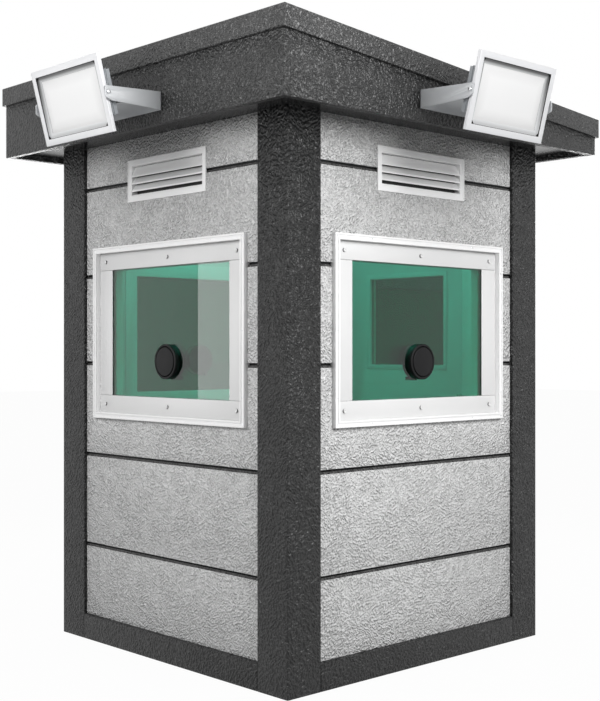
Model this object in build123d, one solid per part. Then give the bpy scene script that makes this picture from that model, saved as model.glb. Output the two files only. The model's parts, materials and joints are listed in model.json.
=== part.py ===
"""Security guard booth: a square, one-person, bullet-resistant cabin.

Millimetres, +Z up. The origin is the centre of the square plan at ground level.
The front wall faces -Y, the right wall +X, the left wall -X, and the back wall, with the door, +Y.
Pieces of a wall are made once on the front wall and turned about Z to the others.
"""
import os

from build123d import *

# ---------------------------------------------------------------- driving dimensions
PLAN = 1524.0                 # square plan over the corner trims (5 ft)
TRIM_THICK = 27.0             # corner and base trims, on the wall core
CLADDING_THICK = 12.0         # stucco-faced panels, on the wall core
CORE_THICK = 68.0             # armoured, insulated wall core
CORNER_TRIM_WIDTH = 172.0     # each leg of the corner trims, measured on the face
TRIM_CHAMFER = 3.0            # upright arrises of the corner trims and the eaves' edges
BASE_TRIM_TOP = 110.0
BASE_TRIM_CHAMFER = 4.0       # weathered top edge of the base trims
SOFFIT_Z = 2195.0             # top of the walls and underside of the soffit
GROOVE_HEIGHT = 18.0
GROOVE_CENTRES = (423.0, 826.0, 1232.0, 1618.0, 2006.0)

SKID_HEIGHT = 92.0
DECK_THICK = BASE_TRIM_TOP - SKID_HEIGHT
TUBE_WALL = 5.0
CROSS_MEMBERS = 5

RIM_WIDTH = 1033.0            # window rim, outside
RIM_BOTTOM = 992.0
RIM_TOP = 1741.0
RIM_BAR = 25.0
RIM_CHAMFER = 2.0
PLATE_THICK = 6.0             # flat retaining plates inside the rim
PLATE_GAP = 1.0               # open joint between two plates
PLATE_CHAMFER = 1.5           # front edge of a plate along the daylight
DAYLIGHT_WIDTH = 801.0
DAYLIGHT_BOTTOM = 1093.0
DAYLIGHT_TOP = 1641.0
GLASS_THICK = 38.0
GLASS_BITE = 25.0             # how far the pane runs behind the plates
GLASS_CLEARANCE = 5.0
INNER_FLANGE = 35.0           # inner glazing frame, on the room side of the wall
INNER_PROUD = 5.0

SPEAK_Z = 1243.0              # talk-through, on the centre line of the pane
SPEAK_R = 73.0
SPEAK_CENTRE_R = 60.0         # raised centre of the outer disc
SPEAK_GROOVE = 4.0            # width of the groove round it
SPEAK_PROUD = 21.0            # raised centre in front of the pane
SPEAK_RIM = 19.0              # outer rim in front of the pane
SPEAK_NECK_R = 70.0           # body, where it passes through the pane
SPEAK_HOLE_R = 70.5
SPEAK_INNER = 12.0            # flange on the room side
SPEAK_LATCH = 42.0            # latch pin under the flange, towards the room
SPEAK_EDGE = 2.0              # rounding of the discs, as a chamfer

VENT_WIDTH = 535.0
VENT_BOTTOM = 1924.0
VENT_TOP = 2104.0
VENT_BORDER = 24.0
VENT_PROUD = 3.0
VENT_DEPTH = 30.0             # from the face of the frame to the back of its box
VENT_SHEET = 2.0
VENT_LIP = 7.0                # turned-down front edge of a blade
VENT_LIP_LEVELS = (2030.0, 1999.0, 1968.0)    # bottom of each lip, from the top blade down
VENT_BLADE_RISE = 31.0
VENT_BLADE_RUN = 20.0
VENT_TOP_RISE = 46.0          # the top blade runs up to the frame
VENT_SILL = 10.0              # sloped sill inside the bottom of the frame
VENT_SCREEN = 1.5             # insect screen at the back
GRILLE_FLANGE = 14.0          # grille on the room side
GRILLE_PROUD = 4.0
GRILLE_BARS = 6
GRILLE_BAR = 8.0

CEILING_THICK = 15.0
FASCIA_FACE = 950.0           # from the centre of the plan
FASCIA_THICK = 30.0
FASCIA_BOTTOM = 2173.0
CAP_FACE = 963.0
CAP_HEIGHT = 80.0
CAP_FRONT_TOP = 2491.0
CAP_BACK_TOP = 2330.0
CAP_RIM = 60.0                # width of the roof edge trim, seen from above

DOOR_HALF = 406.0             # half the width of the leaf
DOOR_BOTTOM = 136.0
DOOR_TOP = 2095.0
DOOR_THICK = 45.0
DOOR_GAP = 6.0
DOOR_SETBACK = 5.0            # leaf face behind the frame face
DOOR_FRAME_FACE = 43.0
DOOR_STOP = 16.0
LOCK_BEVEL = 3.0
LITE_WIDTH = 484.0
LITE_BOTTOM = 1218.0
LITE_TOP = 1650.0
LITE_BITE = 15.0
LITE_FLANGE = 22.0
LITE_PROUD = 3.0
LITE_GLASS_THICK = 20.0

HINGE_R = 8.0
HINGE_PIN_R = 5.0
HINGE_BORE_R = 5.3
HINGE_LENGTH = 60.0           # each half of a lift-off hinge
HINGE_GAP = 1.0
HINGE_PIN_TOP = 50.0          # pin above and below the top of the fixed half
HINGE_PIN_ROOT = 10.0
HINGE_OUT = 15.0              # hinge axis in front of the leaf face
HINGE_LEVELS = (380.0, 1115.0, 1850.0)
FLAG_WIDTH = 42.0
FLAG_THICK = 6.0

LEVER_Z = 1060.0
LEVER_BACKSET = 62.0
LEVER_REACH = 58.0
LEVER_LENGTH = 125.0
ROSE_R = 27.0
ROSE_THICK = 8.0

LAMP_PIVOT_OUT = 1200.0       # floodlight pivot axis, from the centre of the plan
LAMP_PIVOT_Z = 2258.0
LAMP_TILT = 14.8              # how far the light faces down at rest
YOKE_WIDTH = 496.0
YOKE_THICK = 5.0
YOKE_BEND = 12.0              # outside radius of the two bends
YOKE_BASE_HEIGHT = 70.0
YOKE_NOSE = 14.0              # arm beyond the pivot
YOKE_NOSE_TOP = 22.5          # arm above and below the pivot, at its nose
YOKE_NOSE_BOTTOM = 19.0
YOKE_CHIN = (16.0, 31.0)      # where the arm's lower edge turns up: behind and below the pivot
YOKE_ROUND = 8.0              # rounding of the nose
BEZEL_WIDTH = 470.0
BEZEL_HEIGHT = 296.0
BEZEL_DEPTH = 16.0
BEZEL_BORDER = 25.0
BEZEL_SLOPE = 20.0            # width of the slope from the mouth in to the diffuser
LENS_THICK = 3.0
LENS_RECESS = 11.0
HOUSING_WIDTH = 440.0
HOUSING_HEIGHT = 170.0
HOUSING_DEPTH = 36.0
RIB_COUNT = 3                 # ribs round the sides of the housing
RIB_PITCH = 6.5
RIB_THICK = 3.0
RIB_PROUD = 3.0
FIN_COUNT = 17
FIN_DEPTH = 12.0
FIN_THICK = 4.0
PIVOT_R = 4.0
PIVOT_HOLE_R = 4.5
PIVOT_HEAD_R = 8.0
PIVOT_HEAD_THICK = 5.0

# ---------------------------------------------------------------- planes that follow from them
OUT = PLAN / 2                            # face of the trims
CORE_OUT = OUT - TRIM_THICK
CORE_IN = CORE_OUT - CORE_THICK
CLAD_OUT = CORE_OUT + CLADDING_THICK
CLAD_HALF = OUT - CORNER_TRIM_WIDTH
PANE_HALF = DAYLIGHT_WIDTH / 2 + GLASS_BITE
HOLE_HALF = PANE_HALF + GLASS_CLEARANCE
PANE_BOTTOM = DAYLIGHT_BOTTOM - GLASS_BITE
PANE_TOP = DAYLIGHT_TOP + GLASS_BITE
CEILING_TOP = SOFFIT_Z + CEILING_THICK
ROOF_FALL = (CAP_FRONT_TOP - CAP_BACK_TOP) / (2 * CAP_FACE)
JAMB_IN = DOOR_HALF + DOOR_GAP
FRAME_HALF = JAMB_IN + DOOR_FRAME_FACE
HEAD_UNDER = DOOR_TOP + DOOR_GAP
FRAME_TOP = HEAD_UNDER + DOOR_FRAME_FACE
LEAF_OUT = OUT - DOOR_SETBACK
LEAF_IN = LEAF_OUT - DOOR_THICK
HINGE_X = -(DOOR_HALF + DOOR_GAP / 2)
HINGE_Y = LEAF_OUT + HINGE_OUT
THRESHOLD_TOP = DOOR_BOTTOM - DOOR_GAP


def block(x0, x1, y0, y1, z0, z1):
    """Box between two corners."""
    return Pos((x0 + x1) / 2, (y0 + y1) / 2, (z0 + z1) / 2) * Box(x1 - x0, y1 - y0, z1 - z0)


def on_sides(piece, turns=(0, 90, -90)):
    """Copies of a front-wall piece on other walls: 90 is the right wall, -90 the left, 180 the back."""
    return [Rot(Z=turn) * piece for turn in turns]


def ring(half_x, half_z, hole_x, hole_z, y0, y1, z_mid):
    """Rectangular ring in a wall, given by half sizes and two depths."""
    outer = block(-half_x, half_x, y0, y1, z_mid - half_z, z_mid + half_z)
    return outer - block(-hole_x, hole_x, y0 - 1, y1 + 1, z_mid - hole_z, z_mid + hole_z)


# ---------------------------------------------------------------- base and floor
def rect_tube(length, width, height):
    """Rectangular hollow section along Y, centred."""
    section = Plane.XZ * (Rectangle(width, height) - Rectangle(width - 2 * TUBE_WALL, height - 2 * TUBE_WALL))
    return extrude(section, length / 2, both=True)


def skid_runners():
    tube = rect_tube(2 * CORE_OUT, CORE_THICK, SKID_HEIGHT)
    mid = (CORE_IN + CORE_OUT) / 2
    return [Pos(side * mid, 0, SKID_HEIGHT / 2) * tube for side in (-1, 1)]


def skid_cross_members():
    tube = Rot(Z=90) * rect_tube(2 * CORE_IN, CORE_THICK, SKID_HEIGHT)
    reach = (CORE_IN + CORE_OUT) / 2
    step = 2 * reach / (CROSS_MEMBERS - 1)
    return [Pos(0, -reach + step * i, SKID_HEIGHT / 2) * tube for i in range(CROSS_MEMBERS)]


def floor_deck():
    deck = block(-CORE_IN, CORE_IN, -CORE_IN, CORE_IN, SKID_HEIGHT, BASE_TRIM_TOP)
    tongue = block(-FRAME_HALF, FRAME_HALF, CORE_IN, CORE_OUT, SKID_HEIGHT, BASE_TRIM_TOP)
    return deck + tongue


# ---------------------------------------------------------------- walls
def wall_core(half_width):
    """Front-wall core with its window and vent cut through."""
    wall = block(-half_width, half_width, -CORE_OUT, -CORE_IN, SKID_HEIGHT, SOFFIT_Z)
    window = block(-HOLE_HALF, HOLE_HALF, -OUT, 0, PANE_BOTTOM - GLASS_CLEARANCE, PANE_TOP + GLASS_CLEARANCE)
    vent = block(-VENT_WIDTH / 2 + VENT_BORDER, VENT_WIDTH / 2 - VENT_BORDER, -OUT, 0,
                 VENT_BOTTOM + VENT_BORDER, VENT_TOP - VENT_BORDER)
    return wall - window - vent


def back_wall_side(side):
    inner, outer = sorted((side * FRAME_HALF, side * CORE_OUT))
    return block(inner, outer, CORE_IN, CORE_OUT, SKID_HEIGHT, SOFFIT_Z)


def back_wall_header():
    return block(-FRAME_HALF, FRAME_HALF, CORE_IN, CORE_OUT, FRAME_TOP, SOFFIT_Z)


def corner_trims():
    leg = CORNER_TRIM_WIDTH
    corner = block(OUT - leg, OUT, -OUT, -OUT + leg, 0, SOFFIT_Z)
    corner -= block(0, CORE_OUT, -CORE_OUT, 0, -1, SOFFIT_Z + 1)
    upright = corner.edges().filter_by(Axis.Z)
    faced = upright.filter_by_position(Axis.X, OUT - 1, OUT + 1) + upright.filter_by_position(Axis.Y, -OUT - 1, -OUT + 1)
    arrises = [edge for edge in upright if edge in faced]
    return on_sides(chamfer(arrises, TRIM_CHAMFER), (0, 90, 180, 270))


def base_trims():
    trim = block(-CLAD_HALF, CLAD_HALF, -OUT, -CORE_OUT, 0, BASE_TRIM_TOP)
    top_edge = trim.edges().filter_by(Axis.X).group_by(Axis.Z)[-1].sort_by(Axis.Y)[0]
    return on_sides(chamfer(top_edge, BASE_TRIM_CHAMFER), (0, 90, 180, 270))


def band_levels():
    """Bottom and top of each cladding band, between the grooves."""
    half = GROOVE_HEIGHT / 2
    bottoms = [BASE_TRIM_TOP] + [centre + half for centre in GROOVE_CENTRES]
    tops = [centre - half for centre in GROOVE_CENTRES] + [SOFFIT_Z]
    return list(zip(bottoms, tops))


def cladding(cutouts):
    """Cladding bands of one wall, on the front, with pieces cut where something stands through them."""
    pieces = []
    for bottom, top in band_levels():
        band = block(-CLAD_HALF, CLAD_HALF, -CLAD_OUT, -CORE_OUT, bottom, top)
        for cutout in cutouts:
            band -= cutout
        pieces += band.solids()
    return pieces


def window_wall_cladding():
    rim = block(-RIM_WIDTH / 2, RIM_WIDTH / 2, -OUT, 0, RIM_BOTTOM, RIM_TOP)
    vent = block(-VENT_WIDTH / 2 + VENT_BORDER, VENT_WIDTH / 2 - VENT_BORDER, -OUT, 0,
                 VENT_BOTTOM + VENT_BORDER, VENT_TOP - VENT_BORDER)
    return cladding([rim, vent])


def door_wall_cladding():
    doorway = block(-FRAME_HALF, FRAME_HALF, -OUT, 0, 0, FRAME_TOP)
    return [Rot(Z=180) * piece for piece in cladding([doorway])]


# ---------------------------------------------------------------- windows
def window_rims():
    mid = (RIM_BOTTOM + RIM_TOP) / 2
    half = (RIM_TOP - RIM_BOTTOM) / 2
    rim = ring(RIM_WIDTH / 2, half, RIM_WIDTH / 2 - RIM_BAR, half - RIM_BAR, -OUT, -CORE_OUT, mid)
    rim = chamfer(rim.faces().sort_by(Axis.Y)[0].edges(), RIM_CHAMFER)
    return on_sides(rim)


def window_plates():
    """Four flat plates a window: top and bottom run full width, the sides fit between them."""
    half = RIM_WIDTH / 2 - RIM_BAR
    front, back = -CORE_OUT - PLATE_THICK, -CORE_OUT
    bottom = block(-half, half, front, back, RIM_BOTTOM + RIM_BAR, DAYLIGHT_BOTTOM)
    top = block(-half, half, front, back, DAYLIGHT_TOP, RIM_TOP - RIM_BAR)
    side = block(DAYLIGHT_WIDTH / 2, half, front, back, DAYLIGHT_BOTTOM + PLATE_GAP, DAYLIGHT_TOP - PLATE_GAP)
    top = chamfer(top.faces().sort_by(Axis.Z)[0].edges().sort_by(Axis.Y)[0], PLATE_CHAMFER)
    bottom = chamfer(bottom.faces().sort_by(Axis.Z)[-1].edges().sort_by(Axis.Y)[0], PLATE_CHAMFER)
    side = chamfer(side.faces().sort_by(Axis.X)[0].edges().sort_by(Axis.Y)[0], PLATE_CHAMFER)
    plates = []
    for plate in (bottom, top, side, mirror(side, Plane.YZ)):
        plates += on_sides(plate)
    return plates


def window_glass():
    pane = block(-PANE_HALF, PANE_HALF, -CORE_OUT, -CORE_OUT + GLASS_THICK, PANE_BOTTOM, PANE_TOP)
    pane -= Pos(0, -CORE_OUT + GLASS_THICK / 2, SPEAK_Z) * Rot(X=90) * Cylinder(SPEAK_HOLE_R, 2 * GLASS_THICK)
    return on_sides(pane)


def window_inner_frames():
    """Glazing frame on the room side: a stop behind the pane and a flange over the wall."""
    mid = (DAYLIGHT_BOTTOM + DAYLIGHT_TOP) / 2
    day_x, day_z = DAYLIGHT_WIDTH / 2, (DAYLIGHT_TOP - DAYLIGHT_BOTTOM) / 2
    grow = GLASS_BITE + GLASS_CLEARANCE
    stop = ring(day_x + grow, day_z + grow, day_x, day_z, -CORE_OUT + GLASS_THICK, -CORE_IN + INNER_PROUD, mid)
    grow += INNER_FLANGE
    flange = ring(day_x + grow, day_z + grow, day_x, day_z, -CORE_IN, -CORE_IN + INNER_PROUD, mid)
    return on_sides(stop + flange)


def talk_throughs():
    """Speech baffle through the pane: an outer disc with a raised centre, a body, and an inner flange with a latch."""
    profile = Polyline(
        (0, -SPEAK_PROUD),
        (SPEAK_CENTRE_R - SPEAK_EDGE, -SPEAK_PROUD),
        (SPEAK_CENTRE_R, -SPEAK_PROUD + SPEAK_EDGE),
        (SPEAK_CENTRE_R, -SPEAK_GROOVE),
        (SPEAK_CENTRE_R + SPEAK_GROOVE, -SPEAK_GROOVE),
        (SPEAK_CENTRE_R + SPEAK_GROOVE, -SPEAK_RIM),
        (SPEAK_R - SPEAK_EDGE, -SPEAK_RIM),
        (SPEAK_R, -SPEAK_RIM + SPEAK_EDGE),
        (SPEAK_R, 0),
        (SPEAK_NECK_R, 0),
        (SPEAK_NECK_R, GLASS_THICK),
        (SPEAK_R, GLASS_THICK),
        (SPEAK_R, GLASS_THICK + SPEAK_INNER),
        (0, GLASS_THICK + SPEAK_INNER),
        close=True,
    )
    body = revolve(make_face(profile), Axis.Y)
    latch_y = GLASS_THICK + SPEAK_INNER
    latch = block(-7, 7, latch_y - SPEAK_INNER, latch_y + SPEAK_LATCH, -SPEAK_R - 4, -SPEAK_R + 10)
    return on_sides(Pos(0, -CORE_OUT, SPEAK_Z) * (body + latch))


# ---------------------------------------------------------------- vents
def vent_blade(lip_z, rise):
    """Folded sheet blade: an upright lip in front and a plane that slopes up and back."""
    front = -CLAD_OUT
    plane_z = lip_z + VENT_LIP
    outline = Polyline(
        (front, lip_z),
        (front + VENT_SHEET, lip_z),
        (front + VENT_SHEET, plane_z - VENT_SHEET),
        (front + VENT_BLADE_RUN, lip_z + rise - VENT_SHEET),
        (front + VENT_BLADE_RUN, lip_z + rise),
        (front, plane_z),
        close=True,
    )
    return extrude(Plane.YZ * make_face(outline), VENT_WIDTH / 2 - VENT_BORDER, both=True)


def wall_vents():
    """Louvre in a shallow box: a frame on the cladding, folded blades across it, and a sloped sill."""
    half_x, half_z = VENT_WIDTH / 2, (VENT_TOP - VENT_BOTTOM) / 2
    mid = (VENT_BOTTOM + VENT_TOP) / 2
    hole_x, hole_z = half_x - VENT_BORDER, half_z - VENT_BORDER
    face = -CLAD_OUT - VENT_PROUD
    lip = ring(half_x, half_z, hole_x - VENT_SHEET, hole_z - VENT_SHEET, face, -CLAD_OUT, mid)
    lip = chamfer(lip.faces().sort_by(Axis.Y)[0].edges(), VENT_PROUD / 2)
    box = ring(hole_x, hole_z, hole_x - VENT_SHEET, hole_z - VENT_SHEET, -CLAD_OUT, face + VENT_DEPTH, mid)
    bottom = mid - hole_z
    sill = Polyline((-CLAD_OUT, bottom), (face + VENT_DEPTH, bottom), (face + VENT_DEPTH, bottom + VENT_SILL),
                    close=True)
    vent = lip + box + extrude(Plane.YZ * make_face(sill), hole_x, both=True)
    rises = (VENT_TOP_RISE,) + (VENT_BLADE_RISE,) * (len(VENT_LIP_LEVELS) - 1)
    for lip_z, rise in zip(VENT_LIP_LEVELS, rises):
        vent += vent_blade(lip_z, rise)
    return on_sides(vent)


def vent_grilles():
    """Room-side grille of each vent: a flanged ring with flat bars across it."""
    half_x, half_z = VENT_WIDTH / 2 - VENT_BORDER, (VENT_TOP - VENT_BOTTOM) / 2 - VENT_BORDER
    mid = (VENT_BOTTOM + VENT_TOP) / 2
    face = -CORE_IN + GRILLE_PROUD
    grille = ring(half_x + GRILLE_FLANGE, half_z + GRILLE_FLANGE, half_x, half_z, -CORE_IN, face, mid)
    step = 2 * half_z / (GRILLE_BARS + 1)
    for i in range(GRILLE_BARS):
        z = mid - half_z + step * (i + 1)
        grille += block(-half_x, half_x, -CORE_IN, face, z - GRILLE_BAR / 2, z + GRILLE_BAR / 2)
    return on_sides(grille)


def vent_screens():
    """Insect screen behind each louvre, as a plain thin sheet."""
    half_x, half_z = VENT_WIDTH / 2 - VENT_BORDER, (VENT_TOP - VENT_BOTTOM) / 2 - VENT_BORDER
    mid = (VENT_BOTTOM + VENT_TOP) / 2
    front = -CLAD_OUT - VENT_PROUD + VENT_DEPTH
    return on_sides(block(-half_x, half_x, front, front + VENT_SCREEN, mid - half_z, mid + half_z))


# ---------------------------------------------------------------- roof
def roof_prism(face, drop_bottom, drop_top):
    """Sloped slab over the whole plan, between two drops below the top of the roof."""
    front = CAP_FRONT_TOP - ROOF_FALL * (CAP_FACE - face)
    back = CAP_BACK_TOP + ROOF_FALL * (CAP_FACE - face)
    outline = Polyline(
        (-face, front - drop_bottom),
        (face, back - drop_bottom),
        (face, back - drop_top),
        (-face, front - drop_top),
        close=True,
    )
    return extrude(Plane.YZ * make_face(outline), face, both=True)


def ceiling():
    inner = FASCIA_FACE - FASCIA_THICK
    return block(-inner, inner, -inner, inner, SOFFIT_Z, CEILING_TOP)


def fascias():
    """Front, back, left and right fascia boards, cut to the fall of the roof."""
    inner = FASCIA_FACE - FASCIA_THICK
    attic = roof_prism(FASCIA_FACE, CAP_FRONT_TOP, CAP_HEIGHT)
    front = block(-FASCIA_FACE, FASCIA_FACE, -FASCIA_FACE, -inner, FASCIA_BOTTOM, CAP_FRONT_TOP) & attic
    back = block(-FASCIA_FACE, FASCIA_FACE, inner, FASCIA_FACE, FASCIA_BOTTOM, CAP_FRONT_TOP) & attic
    left = block(-FASCIA_FACE, -inner, -inner, inner, FASCIA_BOTTOM, CAP_FRONT_TOP) & attic
    return front, back, left, mirror(left, Plane.YZ)


def roof_edge_trim():
    """Raised trim round the roof panel, with its outer arrises taken off."""
    cap = roof_prism(CAP_FACE, CAP_HEIGHT, 0)
    corners = cap.edges().filter_by(Axis.Z)
    cap = chamfer(corners + cap.faces().sort_by(Axis.Z)[-1].edges(), TRIM_CHAMFER)
    return cap - roof_panel()


def roof_panel():
    return roof_prism(CAP_FACE - CAP_RIM, CAP_HEIGHT, 0)


# ---------------------------------------------------------------- door
def door_frame():
    y0, y1 = CORE_IN - INNER_PROUD, OUT
    frame = block(-FRAME_HALF, FRAME_HALF, y0, y1, BASE_TRIM_TOP, FRAME_TOP)
    frame -= block(-JAMB_IN, JAMB_IN, LEAF_IN - DOOR_GAP, y1 + 1, 0, HEAD_UNDER)
    opening = JAMB_IN - DOOR_STOP
    frame -= block(-opening, opening, y0 - 1, y1, 0, HEAD_UNDER - DOOR_STOP)
    return frame


def door_threshold():
    """Saddle between the stops and the jambs, with a chamfer along its outer edge."""
    saddle = block(-JAMB_IN, JAMB_IN, LEAF_IN - DOOR_GAP, OUT, BASE_TRIM_TOP, THRESHOLD_TOP)
    opening = JAMB_IN - DOOR_STOP
    saddle += block(-opening, opening, CORE_IN - INNER_PROUD, LEAF_IN - DOOR_GAP, BASE_TRIM_TOP, THRESHOLD_TOP)
    edges = saddle.edges().filter_by(Axis.X).group_by(Axis.Z)[-1]
    return chamfer([edges.sort_by(Axis.Y)[0], edges.sort_by(Axis.Y)[-1]], 8)


def door_leaf():
    """Flush leaf with its lock edge bevelled and an opening for the lite."""
    outline = Polyline(
        (-DOOR_HALF, LEAF_OUT),
        (DOOR_HALF, LEAF_OUT),
        (DOOR_HALF - LOCK_BEVEL, LEAF_IN),
        (-DOOR_HALF, LEAF_IN),
        close=True,
    )
    leaf = Pos(0, 0, DOOR_BOTTOM) * extrude(make_face(outline), DOOR_TOP - DOOR_BOTTOM)
    cut = LITE_WIDTH / 2 + LITE_BITE
    return leaf - block(-cut, cut, 0, 2 * OUT, LITE_BOTTOM - LITE_BITE, LITE_TOP + LITE_BITE)


def lite_half(wall_face, glass_face, proud):
    """One side of the lite kit: a stop against the glass and a flange over the leaf."""
    mid = (LITE_BOTTOM + LITE_TOP) / 2
    day_x, day_z = LITE_WIDTH / 2, (LITE_TOP - LITE_BOTTOM) / 2
    stop_y = sorted((wall_face, glass_face))
    stop = ring(day_x + LITE_BITE, day_z + LITE_BITE, day_x, day_z, *stop_y, mid)
    flange_y = sorted((wall_face, wall_face + proud))
    flange = ring(day_x + LITE_FLANGE, day_z + LITE_FLANGE, day_x, day_z, *flange_y, mid)
    return stop + flange


def door_lite_frame():
    mid = (LEAF_IN + LEAF_OUT) / 2
    outer = lite_half(LEAF_OUT, mid + LITE_GLASS_THICK / 2, LITE_PROUD)
    inner = lite_half(LEAF_IN, mid - LITE_GLASS_THICK / 2, -LITE_PROUD)
    return [outer, inner]


def door_glass():
    mid = (LEAF_IN + LEAF_OUT) / 2
    half = LITE_WIDTH / 2 + LITE_BITE - 2
    return block(-half, half, mid - LITE_GLASS_THICK / 2, mid + LITE_GLASS_THICK / 2,
                 LITE_BOTTOM - LITE_BITE + 2, LITE_TOP + LITE_BITE - 2)


def door_levers():
    """A lever on a round rose on each face of the leaf."""
    lever_x = DOOR_HALF - LEVER_BACKSET
    levers = []
    for face, way in ((LEAF_OUT, 1), (LEAF_IN, -1)):
        rose = Rot(X=90) * Cylinder(ROSE_R, ROSE_THICK)
        rose = Pos(0, way * ROSE_THICK / 2, 0) * rose
        neck = Pos(0, way * LEVER_REACH / 2, 0) * Rot(X=90) * Cylinder(9, LEVER_REACH)
        grip = Pos(-LEVER_LENGTH / 2 + 9, way * (LEVER_REACH - 9), 0) * Rot(Y=90) * Cylinder(9, LEVER_LENGTH)
        levers.append(Pos(lever_x, face, LEVER_Z) * (rose + neck + grip))
    return levers


def hinge_lower_barrels():
    """Fixed halves of the lift-off hinges, with their pins, on the frame."""
    barrel = Pos(0, 0, -HINGE_LENGTH / 2) * Cylinder(HINGE_R, HINGE_LENGTH)
    pin = Pos(0, 0, (HINGE_PIN_TOP - HINGE_PIN_ROOT) / 2) * Cylinder(HINGE_PIN_R, HINGE_PIN_TOP + HINGE_PIN_ROOT)
    flag_out = OUT - HINGE_Y
    flag = block(-FLAG_WIDTH, -3, flag_out, flag_out + FLAG_THICK, -HINGE_LENGTH, 0)
    half = barrel + pin + flag
    return [Pos(HINGE_X, HINGE_Y, level) * half for level in HINGE_LEVELS]


def hinge_upper_barrels():
    """Lifting halves of the hinges, on the leaf."""
    z0, z1 = HINGE_GAP, HINGE_GAP + HINGE_LENGTH
    barrel = Pos(0, 0, (z0 + z1) / 2) * Cylinder(HINGE_R, HINGE_LENGTH)
    flag = block(3, FLAG_WIDTH, -HINGE_OUT, -HINGE_OUT + FLAG_THICK, z0, z1)
    web = block(3, 9, -HINGE_OUT, 0, z0, z1)
    half = barrel + flag + web
    half -= Pos(0, 0, HINGE_PIN_TOP / 2) * Cylinder(HINGE_BORE_R, HINGE_PIN_TOP + 4)
    return [Pos(HINGE_X, HINGE_Y, level) * half for level in HINGE_LEVELS]


# ---------------------------------------------------------------- floodlights
def floodlight_bracket():
    """Yoke bent from one strip: a web on the fascia, two rounded bends and two arms that narrow to the pivot."""
    reach = LAMP_PIVOT_OUT - FASCIA_FACE
    half, high, inside = YOKE_WIDTH / 2, YOKE_BASE_HEIGHT / 2, YOKE_BEND - YOKE_THICK
    outer = Pos(0, reach / 2) * Rectangle(2 * half, reach)
    outer = fillet(outer.vertices().group_by(Axis.Y)[-1], YOKE_BEND)
    inner = Pos(0, (reach - YOKE_THICK) / 2) * Rectangle(2 * (half - YOKE_THICK), reach - YOKE_THICK)
    inner = fillet(inner.vertices().group_by(Axis.Y)[-1], inside)
    nose = Pos(0, -YOKE_NOSE / 2) * Rectangle(2 * half, YOKE_NOSE)
    gap = Pos(0, -YOKE_NOSE / 2) * Rectangle(2 * (half - YOKE_THICK), YOKE_NOSE)
    strip = extrude(outer + nose - inner - gap, high, both=True)
    outline = Polyline(
        (reach, -high),
        (reach, high),
        (-YOKE_NOSE, YOKE_NOSE_TOP),
        (-YOKE_NOSE, -YOKE_NOSE_BOTTOM),
        (YOKE_CHIN[0], -YOKE_CHIN[1]),
        close=True,
    )
    side = make_face(outline)
    side = fillet(side.vertices().group_by(Axis.X)[0], YOKE_ROUND)
    side -= Circle(PIVOT_HOLE_R)
    yoke = strip & extrude(Plane.YZ * side, half, both=True)
    return Pos(0, -LAMP_PIVOT_OUT, LAMP_PIVOT_Z) * yoke


def on_pivot(piece):
    """Piece of a lamp head, made upright about its pivot, set at its tilt on the front fascia."""
    return Pos(0, -LAMP_PIVOT_OUT, LAMP_PIVOT_Z) * Rot(X=LAMP_TILT) * piece


def floodlight_bezel():
    """Front frame whose opening slopes in to the diffuser."""
    front = -BEZEL_DEPTH / 2
    bezel = Box(BEZEL_WIDTH, BEZEL_DEPTH, BEZEL_HEIGHT)
    mouth = Rectangle(BEZEL_WIDTH - 2 * BEZEL_BORDER, BEZEL_HEIGHT - 2 * BEZEL_BORDER)
    grow = 2 * (BEZEL_BORDER + BEZEL_SLOPE)
    throat = Rectangle(BEZEL_WIDTH - grow, BEZEL_HEIGHT - grow)
    facing = Plane((0, front, 0), x_dir=(1, 0, 0), z_dir=(0, -1, 0))
    slope = loft([facing * mouth, facing.offset(-LENS_RECESS) * throat])
    through = extrude(facing * throat, -BEZEL_DEPTH)
    return on_pivot(bezel - slope - through)


def floodlight_lens():
    y0 = -BEZEL_DEPTH / 2 + LENS_RECESS
    inset = BEZEL_BORDER + BEZEL_SLOPE
    half_x, half_z = BEZEL_WIDTH / 2 - inset, BEZEL_HEIGHT / 2 - inset
    return on_pivot(block(-half_x, half_x, y0, y0 + LENS_THICK, -half_z, half_z))


def floodlight_housing():
    """Shallow cast box behind the bezel: ribs round its sides and cooling fins across its back."""
    back = BEZEL_DEPTH / 2
    box_depth = HOUSING_DEPTH - FIN_DEPTH
    half_x, half_z = HOUSING_WIDTH / 2, HOUSING_HEIGHT / 2
    housing = block(-half_x, half_x, back, back + box_depth, -half_z, half_z)
    for i in range(RIB_COUNT):
        y = back + RIB_PITCH * (i + 1)
        housing += block(-half_x - RIB_PROUD, half_x + RIB_PROUD, y - RIB_THICK / 2, y + RIB_THICK / 2,
                         -half_z - RIB_PROUD, half_z + RIB_PROUD)
    step = (HOUSING_WIDTH - FIN_THICK) / (FIN_COUNT - 1)
    for i in range(FIN_COUNT):
        x = -half_x + FIN_THICK / 2 + step * i
        housing += block(x - FIN_THICK / 2, x + FIN_THICK / 2, back + box_depth, back + HOUSING_DEPTH,
                         -half_z, half_z)
    return on_pivot(housing)


def floodlight_pivots():
    """Screws through the arms into the sides of the bezel, with dished heads."""
    half = YOKE_WIDTH / 2
    shank = Pos((BEZEL_WIDTH / 2 + half + 1) / 2, 0, 0) * Rot(Y=90) * Cylinder(PIVOT_R, half + 1 - BEZEL_WIDTH / 2)
    head = Pos(half + 1 + PIVOT_HEAD_THICK / 2, 0, 0) * Rot(Y=90) * Cylinder(PIVOT_HEAD_R, PIVOT_HEAD_THICK)
    head = chamfer(head.edges().filter_by(GeomType.CIRCLE).sort_by(Axis.X)[-1], PIVOT_HEAD_THICK / 2)
    screw = shank + head
    return [on_pivot(screw), on_pivot(mirror(screw, Plane.YZ))]


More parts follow.
